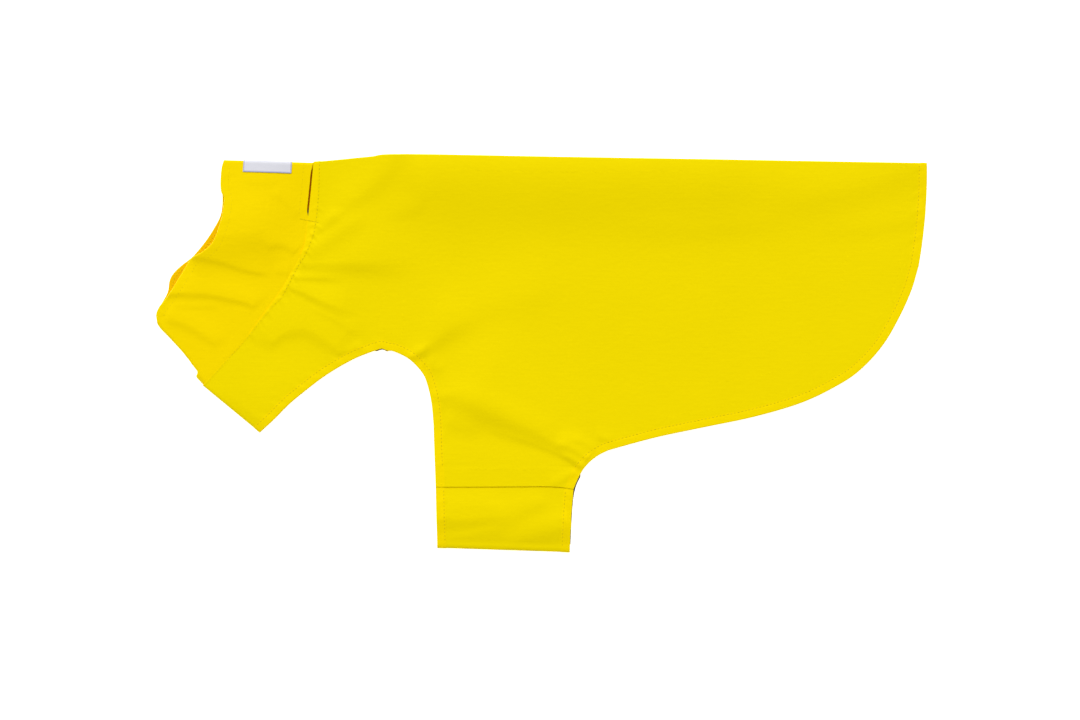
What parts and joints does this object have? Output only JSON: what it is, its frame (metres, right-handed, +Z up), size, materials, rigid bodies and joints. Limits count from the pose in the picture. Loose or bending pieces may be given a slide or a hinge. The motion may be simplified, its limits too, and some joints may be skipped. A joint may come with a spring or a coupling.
{
  "type": "dog raincoat laid flat",
  "caption": "Dog raincoat folded along the back and laid on its side: body, raised collar, leash slit and a belly band that closes under a flap.",
  "frame": {"origin": "bottom centre of the laid coat's box, on the surface that it lies on", "axes": "+X from the head end to the tail end, +Y from the belly to the fold of the back, +Z up off the surface"},
  "size_m": [0.509, 0.2632, 0.0094],
  "materials": {
    "shell_cloth": "plain-woven rainwear cloth, soft matt, water-repellent",
    "collar_cloth": "the same cloth doubled, a warmer yellow",
    "lining_cloth": "fine matt knit, dark navy",
    "label_cloth": "satin-woven label, blank, with a grey-blue edge"
  },
  "bodies": {
    "root": {"shell": "shell_cloth", "collar": "collar_cloth", "belly_band": "shell_cloth", "lining": "lining_cloth", "band_lining": "lining_cloth", "label": "label_cloth"}
  },
  "joints": []
}
